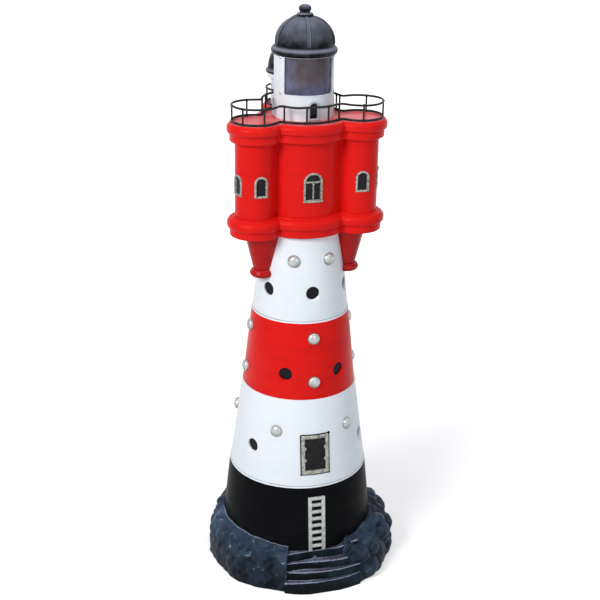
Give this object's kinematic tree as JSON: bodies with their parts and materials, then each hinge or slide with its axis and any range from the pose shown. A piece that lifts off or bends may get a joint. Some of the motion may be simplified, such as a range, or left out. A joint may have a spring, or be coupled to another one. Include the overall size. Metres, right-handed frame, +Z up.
{
  "type": "garden lighthouse ornament",
  "caption": "Striped garden lighthouse on a rock base with a gallery house on three oriels, a railed deck and a lantern under a lift-off dome, holding a turning beacon.",
  "frame": {"origin": "on the tower's axis, on the ground, at the middle of the base plate's underside", "axes": "+Z up along the tower, -Y towards the front with the door, +X to the right of somebody who faces the door"},
  "size_m": [0.2829, 0.2763, 0.8],
  "materials": {
    "rock": "satin painted stone effect",
    "black_paint": "gloss paint",
    "white_paint": "satin gloss paint",
    "red_paint": "gloss paint",
    "black_glazing": "gloss",
    "silver": "polished, a little dull",
    "aged_silver": "aged silver paint",
    "black_wire": "gloss",
    "smoked_pane": "smoked, frosted",
    "dome_black": "gloss paint",
    "door_white": "satin paint",
    "base_grey": "matt",
    "nylon_black": "matt",
    "seal_rubber": "matt",
    "terminal_plastic": "matt",
    "zinc": "zinc plated",
    "steel_tube": "drawn",
    "bronze": "turned",
    "gear_nylon": "moulded",
    "motor_can": "plated",
    "reflector_metal": "polished",
    "porcelain": "glazed",
    "opal_glass": "opal"
  },
  "bodies": {
    "root": {"rock_base": "rock", "base_plate": "base_grey", "base_screws": "zinc", "gland_body": "nylon_black", "gland_locknut": "nylon_black", "gland_seal": "seal_rubber", "gland_cap": "nylon_black", "terminal_box": "terminal_plastic", "black_section": "black_paint", "lower_white_section": "white_paint", "red_section": "red_paint", "upper_white_section": "white_paint", "lower_portholes": "black_glazing", "middle_portholes": "black_glazing", "upper_portholes": "black_glazing", "lower_studs": "silver", "middle_studs": "silver", "upper_studs": "silver", "door_frame": "aged_silver", "door_leaf": "black_glazing", "ladder": "aged_silver", "left_corbel": "red_paint", "right_corbel": "red_paint", "rear_corbel": "red_paint", "gallery_floor": "red_paint", "gallery_wall": "red_paint", "gallery_deck": "red_paint", "casement_frame": "aged_silver", "casement_panes": "black_glazing", "left_oriel_frames": "aged_silver", "left_oriel_panes": "black_glazing", "right_oriel_frames": "aged_silver", "right_oriel_panes": "black_glazing", "rear_oriel_frames": "aged_silver", "rear_oriel_panes": "black_glazing", "bottom_rail": "black_wire", "top_rail": "black_wire", "rail_posts": "black_wire", "lantern_housing": "white_paint", "lantern_pane": "smoked_pane", "pane_screws": "zinc", "gallery_door_frames": "door_white", "gallery_door_leaves": "black_glazing", "turret_housing": "white_paint", "turret_dome": "dome_black", "mechanism_plate": "zinc", "mechanism_screws": "zinc", "lamp_pillar": "steel_tube", "thrust_washer": "gear_nylon", "lampholder": "porcelain", "bulb": "opal_glass", "drive_motor": "motor_can"},
    "dome": {"dome_shell": "dome_black", "dome_finial": "dome_black"},
    "beacon": {"beacon_rotor": "motor_can", "beacon_bushes": "bronze", "ring_gear": "gear_nylon", "reflector": "reflector_metal"},
    "pinion": {"drive_pinion": "gear_nylon"}
  },
  "joints": [
    {"name": "dome_lift", "type": "slide", "parent": "root", "child": "dome", "axis": [0, 0, 1], "range_m": [0, 0.06]},
    {"name": "beacon_spin", "type": "hinge", "parent": "root", "child": "beacon", "pos_m": [0, 0, 0.56], "axis": [0, 0, 1], "continuous": true},
    {"name": "pinion_spin", "type": "hinge", "parent": "root", "child": "pinion", "pos_m": [0, 0.03, 0.56], "axis": [0, 0, 1], "continuous": true}
  ],
  "couplings": [
    {"joint": "pinion_spin", "follows": "beacon_spin", "ratio": -4}
  ]
}
